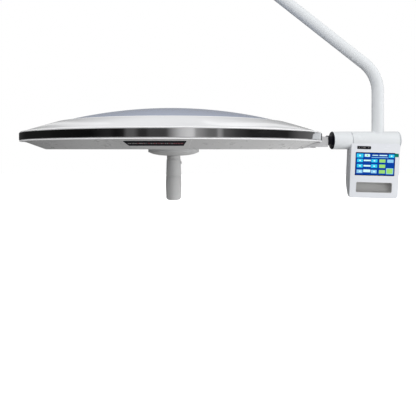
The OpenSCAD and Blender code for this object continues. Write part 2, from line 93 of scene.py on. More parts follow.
BOX_W = 119 * MM
BOX_FRONT = -21 * MM
BOX_BACK = 8 * MM
BOX_SPLIT = -10 * MM
BOX_TOP = -6 * MM
BOX_LOW = -140 * MM
BOX_X = 491.5 * MM
BOX_FRAME = (Matrix.Translation((BOX_X, 0, AXIS_Z))
             @ Matrix.Rotation(math.radians(1.5), 4, "Y")
             @ Matrix.Rotation(math.radians(3), 4, "X"))
SCREEN_Z = -57 * MM
SCREEN_W = 95 * MM
SCREEN_H = 55 * MM
POCKET_Z = -114 * MM
POCKET_W = 85 * MM
POCKET_H = 22.5 * MM
POCKET_D = 13 * MM
LABEL_Z = -17.5 * MM


# ---- node materials ----

class Nodes:
    """The node tree of a material or the world, with short calls for the nodes used here."""

    def __init__(self, owner, coords):
        owner.use_nodes = True
        self.tree = owner.node_tree
        self.coords = self.add("ShaderNodeTexCoord").outputs[coords]

    def add(self, kind, **values):
        node = self.tree.nodes.new(kind)
        for key, value in values.items():
            setattr(node, key, value)
        return node

    def put(self, socket, value):
        """A constant or another node's output for one input."""
        if isinstance(value, bpy.types.NodeSocket):
            self.tree.links.new(value, socket)
        else:
            socket.default_value = value

    def feed(self, node, **values):
        """Constants and other nodes' outputs for a node's inputs, by their names."""
        for key, value in values.items():
            self.put(node.inputs[key.replace("_", " ")], value)
        return node

    def scaled(self, factors):
        """The coordinates, stretched by three factors."""
        node = self.add("ShaderNodeMapping")
        return self.feed(node, Scale=factors, Vector=self.coords).outputs["Vector"]

    def noise(self, scale, detail=3.0, roughness=0.55, vector=None):
        node = self.add("ShaderNodeTexNoise")
        self.feed(node, Scale=scale, Detail=detail, Roughness=roughness, Vector=vector or self.coords)
        return node.outputs["Fac"]

    def cells(self, scale, feature="F1"):
        node = self.add("ShaderNodeTexVoronoi", feature=feature)
        return self.feed(node, Scale=scale, Vector=self.coords).outputs["Distance"]

    def ramp(self, source, stops):
        """A colour ramp with (position, grey or colour) stops."""
        node = self.add("ShaderNodeValToRGB")
        bands = node.color_ramp.elements
        while len(bands) < len(stops):
            bands.new(0.5)
        for band, (place, colour) in zip(bands, stops):
            band.position = place
            grey = isinstance(colour, (int, float))
            band.color = (colour, colour, colour, 1) if grey else (*colour, 1)
        return self.feed(node, Fac=source).outputs["Color"]

    def spread(self, source, least, most):
        """A noise's middle half moved to the range from least to most."""
        node = self.add("ShaderNodeMapRange")
        self.feed(node, Value=source, From_Min=0.25, From_Max=0.75, To_Min=least, To_Max=most)
        return node.outputs["Result"]

    def fade(self, source, start, end, most=1):
        """A smooth step from 0, where a value is start, to most, where it is end."""
        node = self.add("ShaderNodeMapRange", interpolation_type="SMOOTHSTEP")
        self.feed(node, Value=source, From_Min=start, From_Max=end, To_Min=0, To_Max=most)
        return node.outputs["Result"]

    def mix(self, factor, first, second, blend="MIX"):
        """Two colours mixed by a factor."""
        node = self.add("ShaderNodeMix", data_type="RGBA", blend_type=blend)
        return self.feed(node, Factor=factor, A=first, B=second).outputs["Result"]

    def maths(self, operation, first, second=0):
        node = self.add("ShaderNodeMath", operation=operation)
        self.put(node.inputs[0], first)
        self.put(node.inputs[1], second)
        return node.outputs["Value"]

    def blend(self, first, second, part):
        """Two values, the first with a part of 1 and the second with the rest."""
        return self.maths("ADD", self.maths("MULTIPLY", first, part),
                          self.maths("MULTIPLY", second, 1 - part))

    def parts(self):
        """The three coordinates, by their letters."""
        return self.feed(self.add("ShaderNodeSeparateXYZ"), Vector=self.coords).outputs

    def tint(self, colour, source, change):
        """A colour that gets lighter and darker by a share, following a value."""
        darker = [c * (1 - change) for c in colour]
        lighter = [min(1, c * (1 + change)) for c in colour]
        return self.ramp(source, [(0.3, darker), (0.7, lighter)])

    def bump(self, *heights):
        """A normal with bumps laid over each other: (height value, distance in metres) pairs."""
        normal = {}
        for height, distance in heights:
            node = self.add("ShaderNodeBump")
            self.feed(node, Strength=1, Distance=distance, Height=height, **normal)
            normal = {"Normal": node.outputs["Normal"]}
        return normal["Normal"]

    def wrapped(self, along, across, axis):
        """Coordinates for marks that run round an axis: along scales the angle, across the rest."""
        parts = self.parts()
        first, second, third = {"Z": "XYZ", "X": "YZX"}[axis]
        side = self.maths("SUBTRACT", parts[second], AXIS_Z if axis == "X" else 0)
        angle = self.maths("ARCTAN2", side, parts[first])
        square = self.maths("MULTIPLY", parts[first], parts[first])
        radius = self.maths("SQRT", self.maths("ADD", square, self.maths("MULTIPLY", side, side)))
        node = self.add("ShaderNodeCombineXYZ")
        self.feed(node, X=self.maths("MULTIPLY", angle, along),
                  Y=self.maths("MULTIPLY", parts[third], across),
                  Z=self.maths("MULTIPLY", radius, across))
        return node.outputs["Vector"]


class Surface(Nodes):
    """A new material's nodes round its shader."""

    def __init__(self, name):
        self.material = bpy.data.materials.new(name)
        super().__init__(self.material, "Object")

    def shaded(self, **values):
        """The material, with these constants and outputs on its shader's sockets."""
        self.feed(self.tree.nodes["Principled BSDF"], **values)
        return self.material


def moulded(name, colour, rough=(0.2, 0.3), grain=0.01, **constants):
    """Moulded or lacquered plastic: cloudy tone with fine flecks, flow lines and fine grain."""
    n = Surface(name)
    tone = n.blend(n.noise(9, 4), n.noise(420, 2), 0.7)
    flow = n.noise(55, 5, 0.6, n.scaled((1, 1, 2.5)))
    return n.shaded(Base_Color=n.tint(colour, tone, 0.035), Roughness=n.spread(flow, *rough),
                    Normal=n.bump((n.noise(14, 2), 0.12 * MM), (n.noise(1500, 2), grain * MM)),
                    **constants)


def coated(name, colour, rough=(0.24, 0.34), **constants):
    """Powder-coated metal: orange peel, cloudy gloss and a fine sparkle of tone."""
    n = Surface(name)
    return n.shaded(Base_Color=n.tint(colour, n.noise(700, 3), 0.025),
                    Roughness=n.spread(n.noise(40, 4), *rough),
                    Normal=n.bump((n.noise(420, 2), 0.006 * MM), (n.noise(1700, 2), 0.002 * MM)),
                    **constants)


def metal(name, colour, rough, axis="Z", along=3, across=2500):
    """Turned or polished metal: fine marks run round the axis, with a clouded polish."""
    n = Surface(name)
    marks = n.noise(1, 4, 0.6, n.wrapped(along, across, axis))
    cloud = n.noise(18, 4)
    shine = n.maths("ADD", n.spread(marks, *rough), n.spread(cloud, -0.02, 0.03))
    return n.shaded(Base_Color=n.tint(colour, cloud, 0.05), Roughness=shine, Metallic=1,
                    Normal=n.bump((marks, 0.004 * MM), (n.noise(60, 2), 0.01 * MM)))


def cast(name, colour, rough, metallic=1.0, grain=0.05):
    """Cast or milled metal with a blasted grain."""
    n = Surface(name)
    grit = n.noise(900, 4)
    return n.shaded(Base_Color=n.tint(colour, n.noise(60, 5), 0.08),
                    Roughness=n.spread(grit, *rough), Metallic=metallic,
                    Normal=n.bump((grit, grain * MM), (n.cells(520), grain / 2 * MM)))


def glowing(name, colour, strength):
    """A lit patch of a display: its own light, with a fine grain of pixels under glossy glass."""
    n = Surface(name)
    pixels = n.noise(1, 1, 0.5, n.scaled((9000, 9000, 9000)))
    dim = [c * 0.12 for c in colour]
    return n.shaded(Base_Color=n.tint(dim, n.noise(90, 2), 0.1),
                    Emission_Color=n.tint(colour, n.blend(pixels, n.noise(90, 2), 0.5), 0.12),
                    Roughness=n.spread(n.noise(120, 3), 0.08, 0.14),
                    Normal=n.bump((n.noise(25, 2), 0.01 * MM)),
                    Emission_Strength=strength, Specular_IOR_Level=0.15)


def clear(name, colour, alpha):
    """Clear flat glass or film, with faint smears on it."""
    n = Surface(name)
    smear = n.noise(16, 5, 0.65, n.scaled((1, 2.2, 1)))
    return n.shaded(Base_Color=n.tint(colour, smear, 0.03), Roughness=n.spread(smear, 0.02, 0.09),
                    Normal=n.bump((n.noise(8, 2), 0.05 * MM)), Alpha=alpha)


def circuit(name, mask, copper):
    """Solder mask with copper tracks showing through."""
    n = Surface(name)
    tracks = n.ramp(n.cells(260, "DISTANCE_TO_EDGE"), [(0.03, 1), (0.07, 0)])
    return n.shaded(Base_Color=n.mix(tracks, (*mask, 1), (*copper, 1)),
                    Roughness=n.spread(n.noise(300, 3), 0.3, 0.45),
                    Normal=n.bump((tracks, 0.03 * MM)))


WHITE_SHELL = moulded("white_shell", (0.80, 0.81, 0.835), (0.07, 0.13), 0.002, Coat_Weight=0.4,
                      Coat_Roughness=0.06)
CAP_BLUE = moulded("cap_blue_grey", (0.265, 0.325, 0.475), (0.12, 0.2), 0.004)
SILICONE = moulded("white_silicone", (0.95, 0.95, 0.96), (0.25, 0.35), 0.01)
BEZEL_GREY = moulded("bezel_grey", (0.55, 0.55, 0.55), (0.24, 0.36), 0.02, Specular_IOR_Level=0.4)
HANDLE_GREY = moulded("handle_grey", (0.47, 0.47, 0.47), (0.3, 0.42), 0.03)
SCREW_GREY = coated("screw_grey", (0.5, 0.5, 0.505), (0.4, 0.5))
BLACK_GLOSS = moulded("black_gloss", (0.004, 0.004, 0.008), (0.12, 0.2), 0.004,
                      Specular_IOR_Level=0.12)
BADGE_BLACK = moulded("badge_black", (0.006, 0.006, 0.009), (0.3, 0.4), 0.004,
                      Specular_IOR_Level=0.02)
LINER_GREY = moulded("liner_grey", (0.38, 0.38, 0.375), (0.3, 0.45), 0.03)
FILM_GREEN = moulded("film_green", (0.003, 0.19, 0.13), (0.12, 0.25), 0.01, Specular_IOR_Level=0.1)
CABLE_WHITE = moulded("cable_white", (0.75, 0.75, 0.76), (0.4, 0.5), 0.02)
DISPLAY_BACK = moulded("display_back", (0.05, 0.055, 0.06), (0.4, 0.55), 0.01)
LED_DOME = moulded("led_phosphor", (0.85, 0.72, 0.30), (0.15, 0.25), 0.004)
DASH_WHITE = moulded("dash_white", (0.34, 0.32, 0.31), (0.3, 0.4), 0.004)
DASH_RED = moulded("dash_red", (0.3, 0.05, 0.07), (0.3, 0.4), 0.004)
WHITE_PAINT = coated("white_paint", (0.76, 0.785, 0.805), (0.2, 0.3), Coat_Weight=0.15,
                     Coat_Roughness=0.1)
BOX_WHITE = moulded("box_white", (0.77, 0.79, 0.83), (0.2, 0.3), 0.012)
# The rear shell is the same white plastic as the front, darkened to grey: painted shade for the box
# side that faces away from the lamps.
BOX_REAR_PAINTED_SHADE = moulded("box_rear_white_painted_shade", (0.66, 0.67, 0.69), (0.3, 0.4), 0.02)
SILVER_CAST = cast("bracket_silver", (0.68, 0.68, 0.69), (0.34, 0.48), 0.45, 0.02)
ALUMINIUM = cast("aluminium", (0.62, 0.63, 0.64), (0.3, 0.42))
ANODISED = cast("black_anodised", (0.03, 0.03, 0.033), (0.38, 0.5), 0.6)
CHROME = metal("rim_chrome", (0.60, 0.60, 0.61), (0.015, 0.05), "Z", 6, 1500)
STEEL = metal("turned_steel", (0.58, 0.58, 0.59), (0.18, 0.34), "Z")
SHAFT_STEEL = metal("shaft_steel", (0.58, 0.58, 0.59), (0.18, 0.34), "X")
BRONZE = cast("sintered_bronze", (0.55, 0.36, 0.15), (0.35, 0.5))
MIRROR = metal("mirror_coat", (0.88, 0.90, 0.92), (0.03, 0.09), "Z", 30, 300)
LENS = clear("lens_glass", (0.85, 0.90, 0.91), 0.16)
BOARD = circuit("circuit_board", (0.015, 0.10, 0.045), (0.083, 0.16, 0.0675))
SCREEN_BLUE = glowing("screen_blue", (0.0, 0.045, 0.33), 0.95)
SCREEN_EDGE = glowing("screen_edge", (0.0, 0.006, 0.06), 0.4)
KEY_CYAN = glowing("key_cyan", (0.03, 0.56, 0.84), 0.95)
KEY_PALE = glowing("key_pale", (0.28, 0.62, 0.90), 0.9)
KEY_WHITE = glowing("key_white", (0.62, 0.95, 0.95), 0.95)
KEY_GREEN = glowing("key_green", (0.32, 0.68, 0.17), 0.95)


# ---- mesh building ----

def rounded(corners, steps=5):
    """A closed outline from (x, y, radius) corners, each rounded to its radius."""
    points = []
    for i, (x, y, radius) in enumerate(corners):
        if radius == 0:
            points.append((x, y))
            continue
        here = Vector((x, y))
        back = (Vector(corners[i - 1][:2]) - here).normalized()
        on = (Vector(corners[(i + 1) % len(corners)][:2]) - here).normalized()
        half = back.angle(on) / 2
        centre = here + (back + on).normalized() * radius / math.sin(half)
        start = here + back * radius / math.tan(half) - centre
        end = here + on * radius / math.tan(half) - centre
        first = math.atan2(start.y, start.x)
        turn = (math.atan2(end.y, end.x) - first + math.pi) % TAU - math.pi
        for k in range(steps + 1):
            angle = first + turn * k / steps
            points.append((centre.x + radius * math.cos(angle),
                           centre.y + radius * math.sin(angle)))
    return points


def section(inner, outer, bottom, top, radii, steps=5):
    """A rectangular section. Its corners' radii, from the lower inner one, are in millimetres."""
    corners = ((inner, bottom), (outer, bottom), (outer, top), (inner, top))
    return rounded([(*corner, radius * MM) for corner, radius in zip(corners, radii)], steps)


def in_mm(corners, steps=5):
    """A rounded outline from corners in millimetres."""
    return rounded([[size * MM for size in corner] for corner in corners], steps)


def circle(radius, height, sides):
    """Points round a circle about Z."""
    return [Vector((radius * math.cos(TAU * k / sides), radius * math.sin(TAU * k / sides), height))
            for k in range(sides)]


def baked(name, mesh):
    """The mesh data that a mesh in the making becomes."""
    data = bpy.data.meshes.new(name)
    mesh.to_mesh(data)
    mesh.free()
    return data


def placed(name, data):
    """A new object in the scene."""
    thing = bpy.data.objects.new(name, data)
    bpy.context.collection.objects.link(thing)
    return thing


def smooth(data, sharp=32):
    """Smooth shading with sharp edges from an angle on."""
    data.shade_smooth()
    data.set_sharp_from_angle(angle=math.radians(sharp))


def make(name, mesh, material, body, stands_for=(), sharp=32):
    """Finishes a mesh as a piece: shading, material, its body and the CAD nodes it stands for."""
    bmesh.ops.remove_doubles(mesh, verts=mesh.verts, dist=1e-6)
    bmesh.ops.recalc_face_normals(mesh, faces=mesh.faces)
    data = baked(name, mesh)
    smooth(data, sharp)
    data.materials.append(material)
    piece = placed(name, data)
    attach(piece, body)
    if stands_for:
        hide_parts(*stands_for)
    return piece


def lathe(outline, segments, axis="Z", along=0.0, sweep=None, into=None):
    """A closed outline of (radius, height) points turned about Z, or about the tilt axis, "X".
    Heights start at along. sweep is a part of a turn, (start, end) in degrees, with flat ends."""
    mesh = into or bmesh.new()
    start, end = sweep or (0, 360)
    count = segments if sweep is None else segments + 1
    rings = []
    for k in range(count):
        angle = math.radians(start + (end - start) * k / segments)
        ring = []
        for radius, height in outline:
            across, up = radius * math.cos(angle), radius * math.sin(angle)
            if axis == "Z":
                place = (across, up, height + along)
            else:
                place = (height + along, across, up + AXIS_Z)
            ring.append(mesh.verts.new(place))
        rings.append(ring)
    size = len(outline)
    for k in range(segments):
        one, two = rings[k], rings[(k + 1) % count]
        for i in range(size):
            j = (i + 1) % size
            on_axis = outline[i][0] < 1e-9 and outline[j][0] < 1e-9
            if not on_axis:
                mesh.faces.new((one[i], one[j], two[j], two[i]))
    if sweep:
        mesh.faces.new(rings[0])
        mesh.faces.new(rings[-1][::-1])
    return mesh


def curve_height(radius, top):
    """Height of a curve parallel to the dome at a radius."""
    return top - DOME_R + math.sqrt(DOME_R ** 2 - radius ** 2)


def dome_points(start, end, top, steps):
    """Points along a curve parallel to the dome between two radii."""
    radii = [start + (end - start) * i / steps for i in range(steps + 1)]
    return [(radius, curve_height(radius, top)) for radius in radii]


def loft(rings, close=True, into=None):
    """Faces between neighbouring rings, or open rows, of equal point counts. The ends stay open."""
    mesh = into or bmesh.new()
    made = [[mesh.verts.new(p) for p in ring] for ring in rings]
    size = len(rings[0])
    for one, two in zip(made, made[1:]):
        for i in range(size if close else size - 1):
            j = (i + 1) % size
            mesh.faces.new((one[i], one[j], two[j], two[i]))
    return mesh, made


def capped(rings, into=None):
    """A closed solid through rings, with flat ends."""
    mesh, made = loft(rings, into=into)
    mesh.faces.new(made[0])
    mesh.faces.new(made[-1][::-1])
    return mesh


def finished(piece, bevel, shell=0.0, segments=2, angle=40):
    """Modifiers that soften a piece's edges, after giving an open skin its wall."""
    if shell:
        solid = piece.modifiers.new("wall", "SOLIDIFY")
        solid.thickness = shell
        solid.offset = -1
        solid.use_even_offset = True
    if bevel:
        edge = piece.modifiers.new("edges", "BEVEL")
        edge.width = bevel
        edge.segments = segments
        edge.limit_method = "ANGLE"
        edge.angle_limit = math.radians(angle)
    normals = piece.modifiers.new("normals", "WEIGHTED_NORMAL")
    normals.keep_sharp = True


def cut(piece, cutter):
    """Takes a mesh away from a piece, and makes its modifiers part of its mesh."""
    bmesh.ops.recalc_face_normals(cutter, faces=cutter.faces)
    tool = placed("cutter", baked("cutter", cutter))
    difference = piece.modifiers.new("cut", "BOOLEAN")
    difference.operation = "DIFFERENCE"
    difference.solver = "EXACT"
    difference.use_self = True
    difference.object = tool
    bpy.context.view_layer.update()
    graph = bpy.context.evaluated_depsgraph_get()
    result = bpy.data.meshes.new_from_object(piece.evaluated_get(graph))
    piece.modifiers.clear()
    without_slivers(result)
    smooth(result)
    piece.data = result
    # This removes the cutter's object too
    bpy.data.meshes.remove(tool.data)


def without_slivers(data):
    """Leaves only the largest part of a mesh, without the slivers that a cut can leave."""
    mesh = bmesh.new()
    mesh.from_mesh(data)
    left = set(mesh.faces)
    parts = []
    while left:
        part = [left.pop()]
        for face in part:
            for edge in face.edges:
                if len(edge.link_faces) == 2:
                    fresh = left.intersection(edge.link_faces)
                    left -= fresh
                    part.extend(fresh)
        parts.append(part)
    parts.sort(key=len)
    slivers = [face for part in parts[:-1] for face in part]
    bmesh.ops.delete(mesh, geom=slivers, context="FACES")
    mesh.to_mesh(data)
    mesh.free()


# ---- stage ----

def studio():
    """Camera at the photograph's viewing angle, two soft lamps, a floor and the surroundings."""
    scene = bpy.context.scene
    scene.view_settings.view_transform = "Standard"
    lens = bpy.data.cameras.new("camera")
    lens.lens = 34.65
    lens.sensor_width = 36
    lens.shift_x = 0.0286
    lens.shift_y = -0.141
    lens.clip_end = 100
    camera = placed("camera", lens)
    camera.location = (0.0554, -0.990, BASE)
    camera.rotation_euler = (math.pi / 2, 0, 0)
    scene.camera = camera
    lamp("key", place=(2.0, -2.6, 0.0), size=1.8, power=26)
    lamp("back", place=(1.4, 3.8, -0.75), size=2.4, power=95)
    floor(level=-2.7, size=30)
    surroundings()


def lamp(name, place, size, power):
    """A square soft light that points at the middle of the object."""
    data = bpy.data.lights.new(name, "AREA")
    data.size = size
    data.energy = power
    light = placed(name, data)
    light.location = place
    light.visible_glossy = False
    light.visible_camera = False
    aim = Vector((0.1, 0, AXIS_Z)) - Vector(place)
    light.rotation_euler = aim.to_track_quat("-Z", "Y").to_euler()


def floor(level, size):
    """A plain pale floor, far below the hanging lamp."""
    mesh = bmesh.new()
    bmesh.ops.create_grid(mesh, x_segments=4, y_segments=4, size=size)
    plane = placed("floor", baked("floor", mesh))
    plane.location = (0, 0, level)
    plane.visible_diffuse = False
    plane.visible_glossy = False
    plane.visible_shadow = False
    n = Surface("floor_pale")
    pale = n.shaded(Base_Color=n.tint((0.88, 0.88, 0.88), n.noise(3, 4), 0.01),
                    Roughness=n.spread(n.noise(5, 3), 0.6, 0.7),
                    Emission_Color=(1, 1, 1, 1), Emission_Strength=0.8)
    pale.cycles.emission_sampling = "NONE"
    plane.data.materials.append(pale)


def surroundings():
    """White behind the object, even light for the diffuse, and a soft studio for reflections."""
    world = bpy.data.worlds.new("studio")
    bpy.context.scene.world = world
    n = Nodes(world, "Generated")
    parts = n.parts()
    height = parts["Z"]
    turn = n.maths("ARCTAN2", parts["Y"], parts["X"])
    share = n.maths("DIVIDE", n.maths("ADD", turn, math.pi), TAU)

    def background(colour):
        return n.feed(n.add("ShaderNodeBackground"), Color=colour).outputs["Background"]

    def either(ray, no, yes):
        node = n.add("ShaderNodeMixShader")
        for socket, value in zip(node.inputs, (rays[ray], no, yes)):
            n.put(socket, value)
        return node.outputs["Shader"]

    rays = n.add("ShaderNodeLightPath").outputs
    mirrored = n.mix(1, studio_walls(n, share, height), glints(n, share, height), "ADD")
    lit = either("Is Glossy Ray", background(soft_light(n, height)), background(mirrored))
    white = n.feed(n.tree.nodes["Background"], Color=(1, 1, 1, 1)).outputs["Background"]
    seen = either("Is Camera Ray", lit, white)
    n.feed(n.tree.nodes["World Output"], Surface=seen)


def studio_walls(n, share, height):
    """What reflections show: walls by the share of a turn, with a ceiling and a floor."""
    # Round the horizon the studio is dark between its bright panels
    around = n.ramp(share, [(0.0, 0.012), (0.1, 0.006), (0.135, 0.028), (0.15, 0.01),
                            (0.164, 0.02), (0.172, 0.14), (0.184, 0.14), (0.195, 0.04),
                            (0.206, 0.03), (0.213, 0.075), (0.245, 0.075), (0.262, 0.5),
                            (0.271, 0.74), (0.285, 0.88), (0.295, 0.86), (0.301, 0.42),
                            (0.325, 0.2), (0.339, 0.18), (0.344, 0.42), (0.349, 0.38),
                            (0.354, 0.14), (0.38, 0.06), (0.41, 0.02), (0.5, 0.025),
                            (0.54, 0.13), (0.6, 0.2), (0.66, 0.2), (0.7, 0.12), (0.78, 0.1),
                            (0.84, 0.04), (0.9, 0.015)])
    sky = n.ramp(height, [(0.06, 0.3), (0.3, 0.42), (0.42, 0.62), (0.5, 0.95), (1.0, 0.9)])
    # Below it is bright at the right and darker at the left
    below = n.ramp(share, [(0.0, 0.5), (0.25, 0.6), (0.5, 0.75), (0.64, 0.95), (0.7, 0.8),
                           (0.75, 0.42), (0.8, 0.2), (0.85, 0.1), (0.92, 0.3), (1.0, 0.5)])
    upper = n.mix(n.ramp(height, [(0.0, 0), (0.06, 0), (0.12, 1)]), around, sky)
    depth = n.maths("MULTIPLY", height, -1)
    return n.mix(n.ramp(depth, [(0.1, 0), (0.22, 1)]), upper, below)


def glints(n, share, height):
    """Two curved strips of light behind, for the long glints at the dome's left and right."""
    # The left strip leans over more and more above the height where its bend starts
    lift = n.maths("MAXIMUM", n.maths("SUBTRACT", height, 0.26))
    bend = n.maths("MULTIPLY", n.maths("POWER", lift, 3), 1.15)
    off = n.maths("ABSOLUTE", n.maths("SUBTRACT", n.maths("ADD", share, bend), 0.8113))
    left = n.maths("MULTIPLY", n.fade(off, 0.0045, 0.0015), n.fade(share, 0.7955, 0.7975))
    # The right one follows a parabola down from its tip, and widens along it
    gap = n.maths("SUBTRACT", 0.732, share)
    drop = n.maths("MULTIPLY", n.maths("MULTIPLY", gap, gap), 280)
    off = n.maths("ABSOLUTE", n.maths("SUBTRACT", height, n.maths("SUBTRACT", 0.54, drop)))
    wide = n.maths("ADD", n.maths("MULTIPLY", n.maths("MAXIMUM", gap), 1.7), 0.024)
    strip = n.fade(n.maths("DIVIDE", off, wide), 1, 0.5)
    right = n.maths("MULTIPLY", strip, n.fade(share, 0.742, 0.738))
    return n.maths("ADD", n.maths("MULTIPLY", left, 0.4), n.maths("MULTIPLY", right, 0.5))


def soft_light(n, height):
    """Light for the diffuse: even round the object, with three wide soft boxes."""
    level = n.maths("ADD", n.maths("MULTIPLY", height, 0.5), 0.5)
    light = n.ramp(level, [(0.0, 0.17), (0.35, 0.13), (0.5, 0.06), (0.6, 0.12), (1.0, 0.36)])
    # Their direction, strength and the cosine at their edge
    for way, strength, edge in (((0.88, -0.3, -0.37), 3.8, 0.8), ((-0.55, -0.3, 0.78), 1.4, 0.6),
                                ((-0.38, -0.92, 0.05), 1.0, 0.7)):
        facing = n.add("ShaderNodeVectorMath", operation="DOT_PRODUCT")
        n.put(facing.inputs[0], n.coords)
        n.put(facing.inputs[1], Vector(way).normalized())
        light = n.maths("ADD", light, n.fade(facing.outputs["Value"], edge, 1, strength))
    return light


# ---- the head ----

def head_shells():
    """Dome cap, the ring round it and the two white seals on either side of the rim band."""
    edge = curve_height(CAP_R, DOME_H)
    cap = dome_points(0, CAP_R - 1.4 * MM, DOME_H, 26)
    cap += [(CAP_R - 0.4 * MM, edge - 0.5 * MM), (CAP_R, edge - 1.4 * MM)]
    cap += dome_points(CAP_R, 0, DOME_H - SHELL_T, 12)
    make("dome_cap_skin", lathe(cap, 256, along=BASE), CAP_BLUE, "head", ["dome_cap"])
    inner = CAP_R + 0.7 * MM
    ledge = DOME_H - SHELL_T - 0.2 * MM
    lip = curve_height(inner, RING_TOP)
    ring = [(inner, curve_height(inner, ledge)), (inner, lip - 0.9 * MM),
            (inner + 0.3 * MM, lip - 0.25 * MM), (inner + 1.0 * MM, lip - 0.1 * MM)]
    ring += dome_points(inner + 1.8 * MM, SKIRT_R - 1.6 * MM, RING_TOP, 14)
    edge = curve_height(SKIRT_R, RING_TOP)
    foot = BAND_HIGH - 0.6 * MM
    ring += [(SKIRT_R - 0.7 * MM, edge - 0.1 * MM), (SKIRT_R, edge - 1.0 * MM),
             (SKIRT_R, foot), (SKIRT_R - 4.8 * MM, foot)]
    ring += dome_points(SKIRT_R - 4.8 * MM, inner + 2.4 * MM, RING_TOP - SHELL_T, 12)
    ring += [(inner + 2.4 * MM, curve_height(inner, ledge) - SHELL_T)]
    seat = inner - 18 * MM
    ring += dome_points(inner, seat, ledge - SHELL_T, 3)
    ring += [(seat, curve_height(seat, ledge))]
    make("shell_ring_skin", lathe(ring, 256, along=BASE), WHITE_SHELL, "head", ["shell_ring"])
    for node, radius, start, end in (
            ("upper_seal", HEAD_R - 1.7 * MM, BAND_HIGH + 0.1 * MM, 37.4 * MM),
            ("lower_seal", HEAD_R - 0.7 * MM, 16.7 * MM, 19.1 * MM)):
        bead = section(radius - 4.2 * MM, radius, start, end, (0, 1.1, 1.1, 0.3))
        make(node + "_bead", lathe(bead, 256, along=BASE), SILICONE, "head", [node])


def rim():
    """The polished band round the head: a channel with a very slightly crowned face."""
    crown = 0.02 * MM
    wall = 1.1 * MM
    back, web = HEAD_R - 5.5 * MM, HEAD_R - 1.8 * MM
    middle = (BAND_LOW + BAND_HIGH) / 2
    half = (BAND_HIGH - BAND_LOW) / 2
    face = [(HEAD_R - crown * (i / 5) ** 2, middle + half * 0.93 * i / 5) for i in range(-5, 6)]
    edge = HEAD_R - crown - 0.45 * MM
    outline = [(back, BAND_LOW), (edge, BAND_LOW), *face, (edge, BAND_HIGH), (back, BAND_HIGH),
               (back, BAND_HIGH - wall), (web, BAND_HIGH - wall), (web, BAND_LOW + wall),
               (back, BAND_LOW + wall)]
    make("rim_band_chrome", lathe(outline, 256, along=BASE), CHROME, "head", ["rim_band"],
         sharp=25)


def slope_point(radius, off):
    """A point at a radius on the bezel's slope, and its distance off the surface."""
    return (radius + off * math.sin(BEZEL_SLOPE),
            (radius - FACE_R) * math.tan(BEZEL_SLOPE) - off * math.cos(BEZEL_SLOPE))


def slope_pad(start, end, low_off, high_off, round_by):
    """The rounded section of a pad that lies on the bezel's slope."""
    corners = [(*slope_point(start, low_off), 0), (*slope_point(start, high_off), round_by),
               (*slope_point(end, high_off), round_by), (*slope_point(end, low_off), 0)]
    return rounded(corners, 4)


def bezel():
    """The sloping grey bezel under the head, a turned section with recesses for its screws."""
    lip = 1.6 * MM
    hem = FACE_R - 8 * MM
    step_in, step_out = BEZEL_R - 6.5 * MM, HEAD_R - 6 * MM
    step_h = BEZEL_H + 3.6 * MM
    outline = rounded([(hem, 0, 0.3 * MM), (FACE_R, 0, 3 * MM), (BEZEL_R, BEZEL_H, 1.2 * MM),
                       (step_out, BEZEL_H, 0), (step_out, step_h, 0), (step_in, step_h, 0),
                       (step_in, BEZEL_H, 0), (FACE_R - 3 * MM, lip, 0), (hem, lip, 0)])
    skin = make("bezel_skin", lathe(outline, 256, along=BASE), BEZEL_GREY, "head", ["bezel"])
    cut(skin, screw_recesses())
    badge()


def screw_recesses():
    """Twelve shallow round recesses in the bezel's slope, with a bevelled mouth."""
    radius = HEAD_R - 30 * MM
    level = BASE + slope_point(radius, 0)[1]
    mesh = bmesh.new()
    for i in range(12):
        place = (Matrix.Rotation(math.radians(-77.1 + 30 * i), 4, "Z")
                 @ Matrix.Translation((radius, 0, level)) @ Matrix.Rotation(-BEZEL_SLOPE, 4, "Y"))
        capped([[place @ point for point in circle(r * MM, z * MM, 32)]
                for r, z in ((5.2, -1.0), (4.7, -0.05), (4.2, 0.45), (4.2, 1.2))], into=mesh)
    return mesh


def badge():
    """The badge on the bezel: a plain pad, a black plate and a row of generic raised dashes."""
    turn = -92.2
    pad = slope_pad(FACE_R + 10 * MM, BEZEL_R - 3.5 * MM, -0.3 * MM, 1.2 * MM, 0.7 * MM)
    pad = lathe(pad, 40, along=BASE, sweep=(turn - 10.3, turn + 10.3))
    finished(make("badge_plinth_pad", pad, BEZEL_GREY, "head", ["badge_plinth"]),
             0.8 * MM, segments=3)
    inner, outer = FACE_R + 19.8 * MM, BEZEL_R - 5.2 * MM
    plate = slope_pad(inner, outer, 0.9 * MM, 1.9 * MM, 0.3 * MM)
    plate = lathe(plate, 40, along=BASE, sweep=(-1, 1))
    for vertex in plate.verts:
        # It spans nine degrees to either side, and a little less towards its inner edge
        radius, side = vertex.co.xy.length, math.degrees(math.atan2(vertex.co.y, vertex.co.x))
        inward = (outer - radius) / (outer - inner)
        angle = math.radians(turn + side * (9 - 0.6 * inward))
        vertex.co.x, vertex.co.y = radius * math.cos(angle), radius * math.sin(angle)
    finished(make("badge_plate_gloss", plate, BADGE_BLACK, "head", ["badge_plate"]), 0.3 * MM)
    pale, red = bmesh.new(), bmesh.new()
    dash = slope_pad(FACE_R + 29.3 * MM, FACE_R + 31.7 * MM, 1.8 * MM, 2.05 * MM, 0.1 * MM)
    reach = 8.1
    start = turn - reach
    while start < turn + 8:
        width = random.choice((0.22, 0.3, 0.42))
        share = (start - turn + reach) / (2 * reach)
        lathe(dash, 2, along=BASE, sweep=(start, start + width),
              into=red if random.random() < share else pale)
        start += width + random.choice((0.14, 0.2, 0.3))
    make("badge_dashes_pale", pale, DASH_WHITE, "head")
    make("badge_dashes_red", red, DASH_RED, "head")


